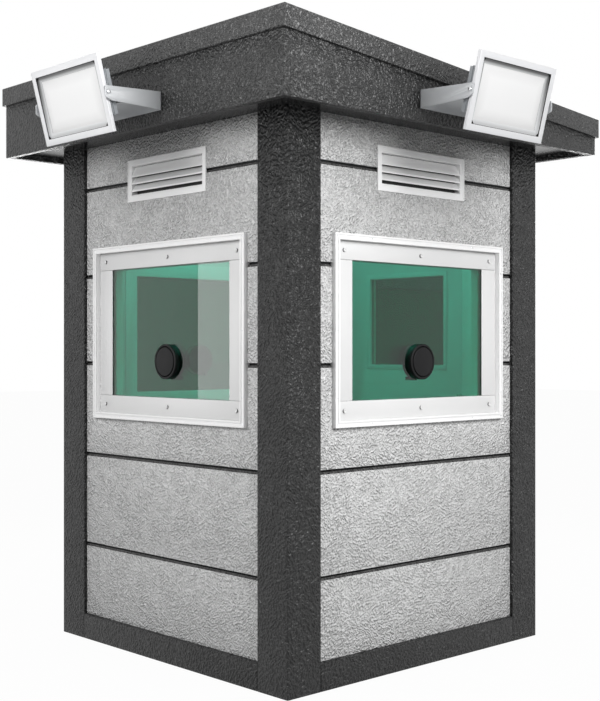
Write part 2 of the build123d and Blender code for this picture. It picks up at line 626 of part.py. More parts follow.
# ---------------------------------------------------------------- export
def turned(shape, turn):
    pieces = shape if isinstance(shape, list) else [shape]
    return [Rot(Z=turn) * piece for piece in pieces]


def all_nodes():
    front, back, left, right = fascias()
    nodes = {
        "skid_runners": skid_runners(),
        "skid_cross_members": skid_cross_members(),
        "floor_deck": floor_deck(),
        "front_wall": wall_core(CORE_OUT),
        "right_wall": Rot(Z=90) * wall_core(CORE_IN),
        "left_wall": Rot(Z=-90) * wall_core(CORE_IN),
        "back_wall_left": back_wall_side(-1),
        "back_wall_right": back_wall_side(1),
        "back_wall_header": back_wall_header(),
        "corner_trims": corner_trims(),
        "base_trims": base_trims(),
        "front_cladding": window_wall_cladding(),
        "right_cladding": turned(window_wall_cladding(), 90),
        "left_cladding": turned(window_wall_cladding(), -90),
        "back_cladding": door_wall_cladding(),
        "window_rims": window_rims(),
        "window_plates": window_plates(),
        "window_glass": window_glass(),
        "window_inner_frames": window_inner_frames(),
        "talk_throughs": talk_throughs(),
        "wall_vents": wall_vents(),
        "vent_screens": vent_screens(),
        "vent_grilles": vent_grilles(),
        "ceiling": ceiling(),
        "front_fascia": front,
        "back_fascia": back,
        "left_fascia": left,
        "right_fascia": right,
        "roof_panel": roof_panel(),
        "roof_edge_trim": roof_edge_trim(),
        "door_frame": door_frame(),
        "door_threshold": door_threshold(),
        "door_leaf": door_leaf(),
        "door_lite_frame": door_lite_frame(),
        "door_glass": door_glass(),
        "door_levers": door_levers(),
        "hinge_lower_barrels": hinge_lower_barrels(),
        "hinge_upper_barrels": hinge_upper_barrels(),
    }
    for side, turn in (("front", 0), ("right", 90)):
        nodes[side + "_floodlight_bracket"] = turned(floodlight_bracket(), turn)
        nodes[side + "_floodlight_bezel"] = turned(floodlight_bezel(), turn)
        nodes[side + "_floodlight_lens"] = turned(floodlight_lens(), turn)
        nodes[side + "_floodlight_housing"] = turned(floodlight_housing(), turn)
        nodes[side + "_floodlight_pivots"] = turned(floodlight_pivots(), turn)
    return nodes


def write_nodes():
    os.makedirs("parts", exist_ok=True)
    for name, shape in all_nodes().items():
        pieces = shape if isinstance(shape, list) else [shape]
        solids = [solid for piece in pieces for solid in piece.solids()]
        whole = solids[0] if len(solids) == 1 else Compound(solids)
        export_step(whole, f"parts/{name}.step")


write_nodes()
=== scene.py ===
# %% [markdown]
# # A security guard booth
# The real booth is a welded, armour-lined cabin for one guard: grey trowelled panels between
# darker posts, three thick laminated windows with speech baffles, louvred vents, a steel door at
# the back, a roof with wide eaves that falls a little to the back, and two tilting floodlights.
# The construction comes in as a fixed frame. This lesson gives every surface its finish, softens
# the edges that are too sharp, and adds what is too small for the construction model.

# %% Load the frame
import json
import math

import bmesh
import bpy
from mathutils import Matrix, Vector

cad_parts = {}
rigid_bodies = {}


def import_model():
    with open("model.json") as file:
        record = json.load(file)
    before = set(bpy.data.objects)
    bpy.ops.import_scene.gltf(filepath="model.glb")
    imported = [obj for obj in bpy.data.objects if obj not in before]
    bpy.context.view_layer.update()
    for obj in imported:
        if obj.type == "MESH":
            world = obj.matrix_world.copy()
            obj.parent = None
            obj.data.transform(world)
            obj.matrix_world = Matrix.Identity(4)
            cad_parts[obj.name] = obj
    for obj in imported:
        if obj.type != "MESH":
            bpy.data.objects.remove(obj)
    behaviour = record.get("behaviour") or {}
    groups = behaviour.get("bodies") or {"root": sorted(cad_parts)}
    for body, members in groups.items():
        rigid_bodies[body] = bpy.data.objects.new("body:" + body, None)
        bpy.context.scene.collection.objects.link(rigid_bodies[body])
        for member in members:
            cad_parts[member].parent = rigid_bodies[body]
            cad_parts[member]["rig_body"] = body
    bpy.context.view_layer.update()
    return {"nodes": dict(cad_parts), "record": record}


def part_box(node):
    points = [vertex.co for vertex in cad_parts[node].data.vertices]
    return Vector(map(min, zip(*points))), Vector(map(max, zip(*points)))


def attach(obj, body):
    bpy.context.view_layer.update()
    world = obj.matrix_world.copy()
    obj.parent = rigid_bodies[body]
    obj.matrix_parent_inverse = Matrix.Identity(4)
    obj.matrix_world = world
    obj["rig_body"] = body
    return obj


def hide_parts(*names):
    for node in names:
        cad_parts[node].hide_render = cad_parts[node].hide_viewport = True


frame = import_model()
nodes = frame["nodes"]
MM = 0.001

# %% [markdown]
# ## One habit
# Operators act on everything that is selected, and the frame arrives selected. So one helper
# clears the selection, and another picks the piece that the next operators are meant for.

# %% Selecting
def clear_selection():
    """Leave edit mode and deselect everything."""
    if bpy.context.object and bpy.context.object.mode != "OBJECT":
        bpy.ops.object.mode_set(mode="OBJECT")
    bpy.ops.object.select_all(action="DESELECT")


def pick(piece):
    """Make one piece the only selected and active one, in object mode."""
    clear_selection()
    bpy.context.view_layer.objects.active = piece
    piece.select_set(True)


print("selection helpers ready")

# %% [markdown]
# ## Materials: shared parts
# All patterns read Object coordinates in metres, so a scale can be given as real spacing. A small
# graph builder keeps the material cells short: it makes nodes, links them, and returns the
# sockets. A finish is kept under its name, which for the frame's own finishes is the record's slot
# name.

# %% Node graph builder
FINISHES = {}


class Finish:
    """One material with its shader, and short ways to add texture nodes to it."""

    def __init__(self, name, color, roughness, metallic=0.0, shine=0.5):
        self.material = bpy.data.materials.new(name)
        self.material.use_nodes = True
        self.tree = self.material.node_tree
        self.shader = self.tree.nodes["Principled BSDF"]
        self.set("Base Color", (*color, 1.0))
        self.set("Roughness", roughness)
        self.set("Metallic", metallic)
        self.set("Specular IOR Level", shine)
        self.color = color
        self.place = self.node("TexCoord").outputs["Object"]
        FINISHES[name] = self.material

    def set(self, socket, value):
        """Set one of the shader's own sockets."""
        self.shader.inputs[socket].default_value = value

    def node(self, kind, **values):
        """A shader node with some of its inputs set by name."""
        made = self.tree.nodes.new("ShaderNode" + kind)
        for name, value in values.items():
            made.inputs[name.replace("_", " ")].default_value = value
        return made

    def link(self, out, into):
        self.tree.links.new(out, into)

    def mapped(self, rotation=(0, 0, 0), scale=(1, 1, 1), location=(0, 0, 0)):
        """Coordinates about a place, turned, and divided by scale, a spacing in metres."""
        mapping = self.node("Mapping", Location=location, Rotation=rotation, Scale=scale)
        mapping.vector_type = "TEXTURE"
        self.link(self.place, mapping.inputs["Vector"])
        return mapping.outputs["Vector"]

    def noise(self, scale=1.0, detail=2.0, roughness=0.5, distortion=0.0, vector=None):
        noise = self.node("TexNoise", Scale=scale, Detail=detail, Roughness=roughness,
                          Distortion=distortion)
        self.link(vector or self.place, noise.inputs["Vector"])
        return noise.outputs["Fac"]

    def ramp(self, value, low, high, out_low=0.0, out_high=1.0, smooth=True):
        """Stretch a value so that low to high becomes out_low to out_high."""
        stretch = self.node("MapRange")
        stretch.interpolation_type = "SMOOTHSTEP" if smooth else "LINEAR"
        limits = {"From Min": low, "From Max": high, "To Min": out_low, "To Max": out_high}
        for name, number in limits.items():
            stretch.inputs[name].default_value = number
        self.link(value, stretch.inputs["Value"])
        return stretch.outputs["Result"]

    def math(self, operation, first, second=0.0):
        """Sum, product and so on of two sockets, or of a socket and a number."""
        sums = self.node("Math")
        sums.operation = operation
        for slot, value in enumerate((first, second)):
            if isinstance(value, (int, float)):
                sums.inputs[slot].default_value = value
            else:
                self.link(value, sums.inputs[slot])
        return sums.outputs["Value"]

    def shares(self, first, second, share):
        """Sum of two sockets, the first at a share and the second at the rest."""
        return self.math("ADD", self.math("MULTIPLY", first, share),
                         self.math("MULTIPLY", second, round(1.0 - share, 6)))

    def blend(self, share, first, second):
        """Mix of two value sockets."""
        mix = self.node("Mix")
        self.link(share, mix.inputs["Factor"])
        self.link(first, mix.inputs["A"])
        self.link(second, mix.inputs["B"])
        return mix.outputs["Result"]

    def tint(self, value, dark, light):
        """Colour between two multiples of the base colour, into the shader."""
        mix = self.node("Mix")
        mix.data_type = "RGBA"
        mix.inputs["A"].default_value = (*[c * dark for c in self.color], 1.0)
        mix.inputs["B"].default_value = (*[c * light for c in self.color], 1.0)
        self.link(value, mix.inputs["Factor"])
        self.link(mix.outputs["Result"], self.shader.inputs["Base Color"])

    def dull(self, value, low, high, at_low, at_high):
        """Roughness that follows a value."""
        self.link(self.ramp(value, low, high, at_low, at_high), self.shader.inputs["Roughness"])

    def relief(self, height, depth):
        """Bump from a height of 0 to 1 that stands for depth in metres."""
        bump = self.node("Bump", Strength=1.0, Distance=depth)
        self.link(height, bump.inputs["Height"])
        self.link(bump.outputs["Normal"], self.shader.inputs["Normal"])


print("material builder ready")

# %% [markdown]
# ## Trowelled stucco
# The panels, posts and eaves carry a thin coat that was pulled with a trowel: short wrinkles about
# 30 mm long and 6 to 9 mm wide, in patches that lean one way or the other, with calm places
# between. One stretched noise would give a single grain like wood. So two are made, one leaning
# each way, and a slow noise decides which of them shows. The lean is given in space, along the
# lines x = y = z and -x = -y = z, so it comes out diagonal on the front, the sides and the back
# alike.

# %% Stucco
LEAN_RIGHT = (0.0, -math.radians(35.3), math.radians(45.0))
LEAN_LEFT = (0.0, -math.radians(35.3), math.radians(225.0))
PATCH_EDGES = (0.46, 0.60)
CALM = (0.36, 0.56, 0.82, 1.0)
WRINKLE_IN_HEIGHT = 0.96
# Painted shade and light: the coat's colour darkens in the wrinkles' hollows and lightens on their
# ridges.
WRINKLE_IN_PAINTED_SHADE = 0.95
HOLLOW_PAINTED_SHADE, RIDGE_PAINTED_LIGHT = 0.72, 1.28


def wrinkles(finish, lean, along, across):
    """Height of wrinkles that run along one lean."""
    spread = finish.mapped(lean, (along, across, across))
    noise = finish.noise(detail=0.7, roughness=0.4, distortion=0.3, vector=spread)
    return finish.ramp(noise, 0.25, 0.75, smooth=False)


def stucco(name, color, roughness, depth, shine=0.5, along=0.030, across=0.0064):
    """A trowelled coat. depth, along and across are its wrinkles' sizes in metres."""
    finish = Finish(name, color, roughness, shine=shine)
    patch = finish.ramp(finish.noise(scale=9.0), *PATCH_EDGES)
    wrinkle = finish.blend(patch, wrinkles(finish, LEAN_RIGHT, along, across),
                           wrinkles(finish, LEAN_LEFT, along, across))
    wrinkle = finish.math("MULTIPLY", wrinkle, finish.ramp(finish.noise(scale=6.0), *CALM))
    grain = finish.noise(scale=260.0, roughness=0.6)
    finish.relief(finish.shares(wrinkle, grain, WRINKLE_IN_HEIGHT), depth)
    cloud = finish.noise(scale=2.2, detail=3.0)
    # Painted shade in the hollows and painted light on the ridges, mixed with a slow cloud of the
    # coat's own tone.
    finish.tint(finish.shares(wrinkle, cloud, WRINKLE_IN_PAINTED_SHADE), HOLLOW_PAINTED_SHADE, RIDGE_PAINTED_LIGHT)
    finish.dull(wrinkle, 0.0, 1.0, roughness + 0.10, roughness - 0.04)
    return finish.material


WIDE = {"along": 0.028, "across": 0.0085}
stucco("light_stucco", (0.57, 0.57, 0.57), 0.50, 0.0120)
stucco("dark_stucco", (0.0145, 0.0147, 0.0149), 0.31, 0.0105, 0.29, **WIDE)
stucco("fascia_stucco", (0.0215, 0.0218, 0.0220), 0.33, 0.0085, 0.34, **WIDE)
stucco("cap_stucco", (0.028, 0.0283, 0.0285), 0.34, 0.0070, 0.38, **WIDE)

ROOM_HALF = 0.70
LINING_TINT = 21.0


def lined_soffit():
    """Dark paint under the eaves, white lining where the same board is the room's ceiling."""
    finish = Finish("soffit_paint", (0.020, 0.020, 0.0205), 0.22, shine=0.4)
    parts = finish.node("SeparateXYZ")
    finish.link(finish.place, parts.inputs["Vector"])
    across = finish.math("ABSOLUTE", parts.outputs["X"])
    along = finish.math("ABSOLUTE", parts.outputs["Y"])
    eaves = finish.math("GREATER_THAN", finish.math("MAXIMUM", across, along), ROOM_HALF)
    finish.tint(eaves, LINING_TINT, 1.0)
    finish.relief(finish.noise(scale=120.0, detail=1.0), 0.0003)


lined_soffit()
print("five coats, one of them with two colours")

# %% [markdown]
# ## Paint on sheet metal
# Frames, plates, louvres and lamps are powder-coated. Powder coat isn't flat: it has a faint
# orange peel a few millimetres across, and it dulls a little where hands and weather reach. Both
# are noise, one in the relief and one in the roughness.

# %% Paint
PEEL_SCALE = 420.0


def paint(name, color, roughness):
    finish = Finish(name, color, roughness)
    finish.relief(finish.noise(scale=PEEL_SCALE, detail=1.0), 0.00006)
    cloud = finish.noise(scale=5.0, detail=4.0, roughness=0.6)
    finish.tint(cloud, 0.965, 1.03)
    finish.dull(cloud, 0.3, 0.7, roughness - 0.06, roughness + 0.06)


paint("white_frame", (0.76, 0.76, 0.76), 0.36)
paint("white_plate", (0.60, 0.60, 0.60), 0.36)
paint("vent_paint", (0.82, 0.82, 0.82), 0.40)
paint("bracket_paint", (0.54, 0.555, 0.57), 0.34)
paint("lamp_white", (0.80, 0.805, 0.82), 0.34)
paint("lamp_housing", (0.36, 0.38, 0.40), 0.40)
paint("door_paint", (0.60, 0.60, 0.605), 0.42)
paint("door_frame_paint", (0.80, 0.80, 0.80), 0.40)
paint("wall_lining", (0.66, 0.66, 0.655), 0.50)
print("nine paints")

# %% [markdown]
# ## Glass, plastic and bare metal
# The windows are laminates 38 mm thick, so their green comes from the depth of glass that light
# has to cross, and the cut edges look darkest. That is what volume absorption does, so the pane is
# a clear refracting solid with an absorbing inside, and no tint is painted on its faces.

# %% Glass
def laminate(name, color, density):
    finish = Finish(name, (1.0, 1.0, 1.0), 0.0)
    finish.set("Transmission Weight", 1.0)
    finish.set("IOR", 1.5)
    finish.dull(finish.noise(scale=3.0), 0.45, 0.8, 0.0, 0.004)
    depth = finish.node("VolumeAbsorption", Color=(*color, 1.0), Density=density)
    finish.link(depth.outputs["Volume"], finish.tree.nodes["Material Output"].inputs["Volume"])


laminate("ballistic_glass", (0.01, 0.79, 0.66), 71.0)
laminate("door_lite_glass", (0.01, 0.80, 0.66), 70.0)
print("two laminates")

# %% Plastic, rubber and metal
def moulded(name, color, roughness, grain=0.00008, scale=700.0, shine=0.5):
    """Moulded plastic or rubber with a fine matt grain."""
    finish = Finish(name, color, roughness, shine=shine)
    finish.relief(finish.noise(scale=scale), grain)
    cloud = finish.noise(scale=18.0, detail=3.0)
    finish.tint(cloud, 0.9, 1.1)
    finish.dull(cloud, 0.3, 0.7, roughness - 0.05, roughness + 0.06)


def brushed(name, color, roughness):
    """Steel with fine lines along X from brushing."""
    finish = Finish(name, color, roughness, metallic=1.0)
    lines = finish.noise(detail=3.0, vector=finish.mapped(scale=(0.25, 0.0006, 0.0006)))
    finish.relief(lines, 0.00003)
    finish.tint(lines, 0.92, 1.05)
    finish.dull(lines, 0.3, 0.7, roughness - 0.07, roughness + 0.09)


def galvanised(name):
    """Hot-dip zinc: crystals a few centimetres across, each with its own grey and gloss."""
    finish = Finish(name, (0.50, 0.51, 0.52), 0.45, metallic=1.0)
    crystals = finish.node("TexVoronoi", Scale=55.0)
    finish.link(finish.place, crystals.inputs["Vector"])
    shade = finish.ramp(crystals.outputs["Color"], 0.0, 1.0)
    finish.tint(shade, 0.8, 1.1)
    finish.dull(shade, 0.0, 1.0, 0.34, 0.56)


moulded("black_plastic", (0.008, 0.008, 0.0085), 0.45, shine=0.12)
moulded("insect_screen", (0.03, 0.03, 0.03), 0.7)
moulded("roof_membrane", (0.16, 0.16, 0.165), 0.75, grain=0.0004, scale=160.0)
moulded("floor_vinyl", (0.10, 0.10, 0.11), 0.55, grain=0.0003, scale=260.0)
moulded("lamp_diffuser", (0.88, 0.88, 0.88), 0.45, grain=0.00002)
brushed("threshold_metal", (0.62, 0.63, 0.64), 0.36)
brushed("lever_steel", (0.62, 0.62, 0.61), 0.26)
brushed("hinge_steel", (0.52, 0.52, 0.52), 0.34)
brushed("screw_steel", (0.66, 0.67, 0.68), 0.28)
galvanised("galvanised_steel")
print(len(FINISHES), "finishes in all")

# %% [markdown]
# ## Finishes for the frame's own pieces
# Each frame piece keeps its shape and takes the finish that the record names for it.

# %% Dress the frame
def coat(piece, finish):
    """Give a piece one material, through its object's slots, so that a frame mesh isn't touched."""
    if not piece.material_slots:
        piece.data.materials.append(finish)
    for slot in piece.material_slots:
        slot.link = "OBJECT"
        slot.material = finish


body_of = {name: node["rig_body"] for name, node in nodes.items()}
slot_of = {part["node"]: part["material_slot"] for part in frame["record"]["subparts"]}
for node, slot in slot_of.items():
    coat(nodes[node], FINISHES[slot])
print(len(slot_of), "frame pieces dressed")

# %% [markdown]
# ## Softer edges
# A press or a trowel never leaves a knife edge, and a line of light along an edge is what tells
# the eye how thick a sheet is. A frame mesh must stay as it is, so each piece that shows its edges
# gets a softened copy that stands for it. Its loose triangles are merged and flat areas become
# whole faces first, because a Bevel modifier needs real edges. Only sharp edges are rounded.

# %% Softened copies
SHADE_ANGLE = math.radians(35.0)
FLAT_ANGLE = math.radians(1.0)
SHARP_ANGLE = math.radians(30.0)
DOUBLES = 0.00001


def added(name, data):
    """A new object in the scene that holds this data."""
    piece = bpy.data.objects.new(name, data)
    bpy.context.scene.collection.objects.link(piece)
    return piece


def edit(piece):
    """Open a piece in edit mode with all of it selected."""
    pick(piece)
    bpy.ops.object.mode_set(mode="EDIT")
    bpy.ops.mesh.select_all(action="SELECT")


def leave():
    bpy.ops.object.mode_set(mode="OBJECT")


def apply(piece, kind, **values):
    """Put a modifier on the active piece and apply it."""
    modifier = piece.modifiers.new(kind, kind)
    for name, value in values.items():
        setattr(modifier, name, value)
    bpy.ops.object.modifier_apply(modifier=modifier.name)


def finished(piece, body, slot, finish=None):
    """Coat a piece, smooth its shading, and let it ride on a body."""
    coat(piece, finish or FINISHES[slot])
    pick(piece)
    bpy.ops.object.shade_smooth_by_angle(angle=SHADE_ANGLE)
    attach(piece, body)
    return piece


def soften(node, width):
    """A copy of a frame piece with its edges rounded by a width in millimetres."""
    piece = added("soft_" + node, nodes[node].data.copy())
    edit(piece)
    bpy.ops.mesh.remove_doubles(threshold=DOUBLES)
    bpy.ops.mesh.dissolve_limited(angle_limit=FLAT_ANGLE)
    leave()
    apply(piece, "BEVEL", width=width * MM, segments=2, limit_method="ANGLE",
          angle_limit=SHARP_ANGLE)
    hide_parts(node)
    return finished(piece, body_of[node], slot_of[node])


EDGE_WIDTHS = {
    "corner_trims": 1.2, "base_trims": 1.2, "front_cladding": 1.2, "right_cladding": 1.2,
    "left_cladding": 1.2, "back_cladding": 1.2, "window_rims": 0.8, "window_plates": 0.5,
    "window_inner_frames": 1.0, "talk_throughs": 0.9, "wall_vents": 0.4, "vent_grilles": 0.5,
    "front_fascia": 1.5, "right_fascia": 1.5, "left_fascia": 1.5, "back_fascia": 1.5,
    "roof_edge_trim": 1.2, "skid_runners": 3.0, "skid_cross_members": 3.0, "door_leaf": 1.0,
    "door_frame": 1.0, "door_threshold": 0.8, "door_lite_frame": 0.8,
    "hinge_lower_barrels": 0.5, "hinge_upper_barrels": 0.4,
}
for lamp in ("front_floodlight_", "right_floodlight_"):
    EDGE_WIDTHS.update({lamp + "bracket": 0.6, lamp + "housing": 0.6, lamp + "pivots": 0.5})
soft = {node: soften(node, width) for node, width in EDGE_WIDTHS.items()}
coat(soft["door_lite_frame"], FINISHES["door_paint"])
print(len(soft), "softened pieces,", sum(len(p.data.polygons) for p in soft.values()), "faces")

# %% [markdown]
# ## Copying along the walls
# The booth repeats itself: what is on the front wall is on the right and left walls too, a quarter
# turn further. So small pieces are modelled once, facing the front, and copied. Each copy gets its
# own mesh with its place in the mesh, and the copies of one kind are joined, as they share a body.

# %% Walls and copies
WALL_TURNS = {"front": 0.0, "right": 90.0, "left": -90.0, "back": 180.0}
WINDOW_WALLS = ("front", "right", "left")


def on_wall(wall, place=(0.0, 0.0, 0.0)):
    """Matrix that sets a piece at a front-wall place, in millimetres, and carries it to a wall."""
    turn = Matrix.Rotation(math.radians(WALL_TURNS[wall]), 4, "Z")
    return turn @ Matrix.Translation(Vector(place) * MM)


def on_windows(*places):
    """Matrices of front-wall places, repeated on each wall with a window."""
    return [on_wall(wall, place) for wall in WINDOW_WALLS for place in places]


def joined(pieces, name):
    """Several pieces of one finish made into one."""
    pick(pieces[0])
    for piece in pieces[1:]:
        piece.select_set(True)
    if len(pieces) > 1:
        bpy.ops.object.join()
    pieces[0].name = name
    return pieces[0]


def placed(master, name, matrices, slot, body="booth", finish=None, stands_for=None):
    """Copies of a master, joined and finished. The master itself is removed."""
    copies = []
    for matrix in matrices:
        copies.append(added(name, master.data.copy()))
        copies[-1].data.transform(matrix)
    piece = joined(copies, name)
    bpy.data.objects.remove(master)
    if stands_for:
        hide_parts(stands_for)
    return finished(piece, body, slot, finish)


def primitive(add, scale=(1.0, 1.0, 1.0), **values):
    """Add a primitive, and put its size and place into its mesh."""
    clear_selection()
    add(**values)
    piece = bpy.context.object
    piece.scale = scale
    bpy.ops.object.transform_apply(location=True, rotation=True, scale=True)
    return piece


def bar(low, high, soft_edge):
    """A bar between two corners, in millimetres, with rounded edges."""
    low, high = Vector(low) * MM, Vector(high) * MM
    piece = primitive(bpy.ops.mesh.primitive_cube_add, high - low, size=1.0,
                      location=(low + high) / 2)
    edit(piece)
    bpy.ops.mesh.bevel(offset=soft_edge * MM, segments=2, affect="EDGES")
    leave()
    return piece


print("copying helpers ready")

# %% [markdown]
# ## Room for the glazing tape
# A pane is bedded on soft tape and never touches the steel behind it. So the faces of the frames
# that hold it step back by the tape's thickness. It matters for the look too: where glass and
# steel share one plane, no light reaches the steel, and the rebate would look black through the
# pane.

# %% Glazing gaps
CORE_FACE = 735.0
PANE_DEEP = 38.0
TAPE = 0.6
SAME_PLANE = 0.0001


def choose(piece, rule):
    """In edit mode, select only what a rule takes from the mesh."""
    bpy.ops.mesh.select_all(action="DESELECT")
    mesh = bmesh.from_edit_mesh(piece.data)
    for item in rule(mesh):
        item.select_set(True)
    mesh.select_flush(True)
    bmesh.update_edit_mesh(piece.data)


def step_back(piece, turn, face, way):
    """Move the corners that lie on one plane, given in the front wall's terms, in metres."""
    home = turn.inverted()
    edit(piece)
    choose(piece, lambda mesh: [corner for corner in mesh.verts
                                if abs((home @ corner.co).y - face) < SAME_PLANE])
    bpy.ops.transform.translate(value=turn.to_3x3() @ Vector((0.0, way * TAPE * MM, 0.0)))
    leave()
    return sum(corner.select for corner in piece.data.vertices)


pane_back = (PANE_DEEP - CORE_FACE) * MM
moved = [step_back(soft["window_inner_frames"], turn, pane_back, 1.0)
         for turn in on_windows((0.0, 0.0, 0.0))]
for corner, way in zip(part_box("door_glass"), (-1.0, 1.0)):
    moved.append(step_back(soft["door_lite_frame"], Matrix.Identity(4), corner[1], way))
print("corners moved back for the tape:", moved)

# %% [markdown]
# ## Battens behind the open joints
# Between the panels stays an open joint. At the back of it a black strip fills the upper half, as
# painted shadow under the panel above, and below it shows the rough edge of the mortar bed. Both
# are strips with eased edges, as long as the joint is, and they stop at the window rim, the vent's
# box or the door frame where the joint does.

# %% Joint battens
JOINTS = (423.0, 826.0, 1232.0, 1618.0, 2006.0)
WHOLE_JOINTS = JOINTS[:2]
VENT_JOINT = JOINTS[-1]
JOINT_HALF = 9.0
SHADOW_STRIP_DEEP = 1.5
MORTAR_DEEP = 7.0
STRIP_EDGE = 0.6
PANEL_HALF = 590.0
RIM_HALF = 516.5
VENT_BOX_HALF = 243.5
DOOR_FRAME_HALF = 455.0


def joint_spans(wall, level):
    """Left and right ends of the stretches of one joint."""
    if wall == "back":
        gap = DOOR_FRAME_HALF
    elif level in WHOLE_JOINTS:
        return [(-PANEL_HALF, PANEL_HALF)]
    else:
        gap = VENT_BOX_HALF if level == VENT_JOINT else RIM_HALF
    return [(-PANEL_HALF, -gap), (gap, PANEL_HALF)]


def joint_strips(wall, name, slot, deep, low, high, finish=None):
    """Strips in all joints of one wall, between two heights from the middle of the joint."""
    strips = [bar((left, -CORE_FACE - deep, level + low), (right, -CORE_FACE, level + high),
                  STRIP_EDGE) for level in JOINTS for left, right in joint_spans(wall, level)]
    placed(joined(strips, "strips"), name + wall, [on_wall(wall)], slot, finish=finish)
    print(name + wall, len(strips), "strips")


mortar = stucco("mortar_bed", (0.065, 0.065, 0.064), 0.55, 0.0200, across=0.0075)
for wall in WALL_TURNS:
    # Painted shadow: a black strip in the upper half of each joint.
    joint_strips(wall, "joint_shadow_strips_", "black_plastic", SHADOW_STRIP_DEEP, 0.0, JOINT_HALF)
    joint_strips(wall, "mortar_beds_", "cap_stucco", MORTAR_DEEP, -JOINT_HALF, 0.0, mortar)

# %% [markdown]
# ## Screws and rivets
# The window plates are held by button-head screws: a low dome with a socket. A disc is a good
# start for one. Its front edge is beveled wide into the dome, then the flat middle is inset and
# pushed in for the socket. Each sits on a black sealing washer, whose dark side also stands in as
# painted shade for the shadow beside the head. The washer is the same head without a socket, as
# are the rivets on the rims.

# %% Button heads
FACING_FRONT = (math.radians(90.0), 0.0, 0.0)
FLAT_ON = 0.99
DOME_SHARE = 0.85
SOCKET_SHARE = 0.55


def front_faces(mesh):
    """Rule for the foremost faces that look to the front."""
    front = min(face.calc_center_median().y for face in mesh.faces) + DOUBLES
    return [face for face in mesh.faces
            if face.normal.y < -FLAT_ON and face.calc_center_median().y < front]


def disc(radius, height, rounding, segments=4, sides=40, lift=0.0):
    """A disc that stands on the plane y = 0, faces the front, and has a rounded front edge."""
    piece = primitive(bpy.ops.mesh.primitive_cylinder_add, vertices=sides, radius=radius * MM,
                      depth=height * MM, location=(0.0, (-height / 2 - lift) * MM, 0.0),
                      rotation=FACING_FRONT)
    edit(piece)
    choose(piece, front_faces)
    bpy.ops.mesh.bevel(offset=rounding * MM, segments=segments, affect="EDGES")
    leave()
    return piece


def button_head(radius, height, socket=0.0, sides=20):
    """A domed head. A socket is a share of the radius."""
    dome = height * DOME_SHARE
    head = disc(radius, height, dome, sides=sides)
    if socket:
        edit(head)
        choose(head, front_faces)
        bpy.ops.mesh.inset(thickness=(radius - dome - radius * socket) * MM)
        bpy.ops.transform.translate(value=(0.0, height * SOCKET_SHARE * MM, 0.0))
        leave()
    return head


PLATE_FACE = 741.0
PLATE_SCREW_X = 447.0
PLATE_SCREWS_Z = (1055.0, 1678.0)
WASHER_HIGH = 4.0
plate_places = [(x, z) for x in (-PLATE_SCREW_X, 0.0, PLATE_SCREW_X) for z in PLATE_SCREWS_Z]
# Painted shade: the black washers darken a crescent beside each screw head.
placed(button_head(7.8, WASHER_HIGH, sides=24), "window_plate_washers",
       on_windows(*[(x, -PLATE_FACE, z) for x, z in plate_places]), "black_plastic")
plate_screws = placed(
    button_head(8.2, 3.4, socket=0.26), "window_plate_screws",
    on_windows(*[(x, -PLATE_FACE - WASHER_HIGH, z) for x, z in plate_places]), "white_plate")

RIM_FACE = 762.0
RIM_Z = 1366.5
RIM_HALF_HIGH = 374.5
RIM_WIDE = 25.0
RIVET_X = RIM_HALF - RIM_WIDE / 2
RIVET_Z = RIM_HALF_HIGH - RIM_WIDE / 2
RIVET_INNER_X = 310.0
RIVET_INNER_Z = 258.5
rivet_places = [(side * RIVET_X, z) for side in (-1, 1)
                for z in (-RIVET_Z, -RIVET_INNER_Z, 0.0, RIVET_INNER_Z, RIVET_Z)]
rivet_places += [(x, side * RIVET_Z) for x in (-RIVET_INNER_X, RIVET_INNER_X)
                 for side in (-1, 1)]
rim_rivets = placed(button_head(3.0, 1.6, sides=14), "window_rim_rivets",
                    on_windows(*[(x, -RIM_FACE, RIM_Z + z) for x, z in rivet_places]),
                    "screw_steel")
for heads in (plate_screws, rim_rivets):
    print(heads.name, len(heads.data.polygons), "faces")

# %% [markdown]
# ## Rubber rings
# A pane never touches steel: a gasket runs round the daylight between the plates and the glass.
# The same kind of ring seals the lamps. It starts as a plane of the outer size, is inset by its
# own width, loses its middle, and gets its thickness from Solidify, then soft edges.

# %% Rings
def flat_ring(half_x, half_z, width, thickness, soft_edge=0.0, face=0.0, slope=0.0):
    """A rectangular ring that faces the front at y = face. A slope sinks its inner edge."""
    ring = primitive(bpy.ops.mesh.primitive_plane_add, (half_x * MM, half_z * MM, 1.0), size=2.0,
                     location=(0.0, face * MM, 0.0), rotation=FACING_FRONT)
    edit(ring)
    bpy.ops.mesh.inset(thickness=width * MM)
    bpy.ops.transform.translate(value=(0.0, slope * MM, 0.0))
    bpy.ops.mesh.delete(type="FACE")
    leave()
    apply(ring, "SOLIDIFY", thickness=thickness * MM, offset=-1.0)
    if soft_edge:
        apply(ring, "BEVEL", width=soft_edge * MM, segments=2)
    return ring


DAY_HALF = 400.5
DAY_HALF_HIGH = 274.0
DAY_Z = 1367.0
GASKET = 1.0
GASKET_DEEP = 1.5
pane_gaskets = placed(
    flat_ring(DAY_HALF + GASKET, DAY_HALF_HIGH + GASKET, 2 * GASKET, GASKET_DEEP, 0.3),
    "pane_gaskets", on_windows((0.0, -CORE_FACE - GASKET_DEEP, DAY_Z)), "black_plastic")
print(len(pane_gaskets.data.polygons), "faces in the pane gaskets")

# %% [markdown]
# ## Beads on the frames
# The pressed steel frames are raised along their edges, which shows as a double line of light and
# shade all the way round. A thin flat ring with soft edges, laid on the frame's face, makes that
# step. The window rims have one ring outside and one inside, and the vent frames one outside. The
# bottom of a vent is a turned-up lip, which a bar makes.

